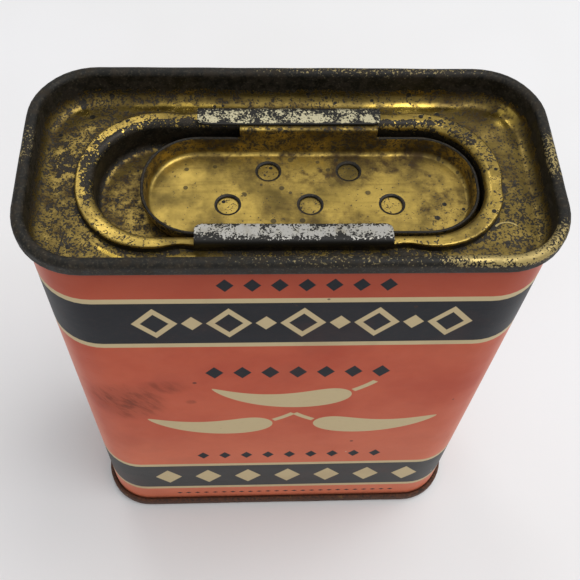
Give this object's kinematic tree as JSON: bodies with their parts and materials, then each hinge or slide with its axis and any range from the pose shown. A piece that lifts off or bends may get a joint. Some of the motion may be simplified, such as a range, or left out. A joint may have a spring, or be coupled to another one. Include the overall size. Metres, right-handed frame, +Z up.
{
  "type": "spice tin",
  "caption": "Small upright rectangular tinplate spice tin with round corners, seamed ends and a sunk sifter well whose sliding dish opens and shuts its holes.",
  "frame": {"origin": "middle of the base, on the plane the bottom seam stands on", "axes": "+Z up along the tin's height, +X to the right along the wide front, +Y from the front to the back"},
  "size_m": [0.0588, 0.0278, 0.0764],
  "materials": {
    "printed_tinplate": "satin lithographed coral red with two charcoal bands and cream lines, scuffed",
    "gold_lacquer": "gold lacquered tinplate, dull, with brown rust specks and a near-black worn rim",
    "bright_lacquer": "brighter gold lacquered tinplate with dark specks, bare and grey at the ears",
    "base_lacquer": "gold lacquered tinplate gone brown with rust along the seam",
    "seam_compound": "dried dark sealing compound",
    "solder": "dull grey solder"
  },
  "bodies": {
    "tin": {"body": "printed_tinplate", "side_seam_solder": "solder", "top_end": "gold_lacquer", "bottom_end": "base_lacquer", "top_seam_compound": "seam_compound", "bottom_seam_compound": "seam_compound", "sifter_well": "bright_lacquer"},
    "slide": {"sifter_slide": "bright_lacquer"}
  },
  "joints": [
    {"name": "sifter_slide_travel", "type": "slide", "parent": "tin", "child": "slide", "axis": [1, 0, 0], "range_m": [-0.0045, 0]}
  ]
}
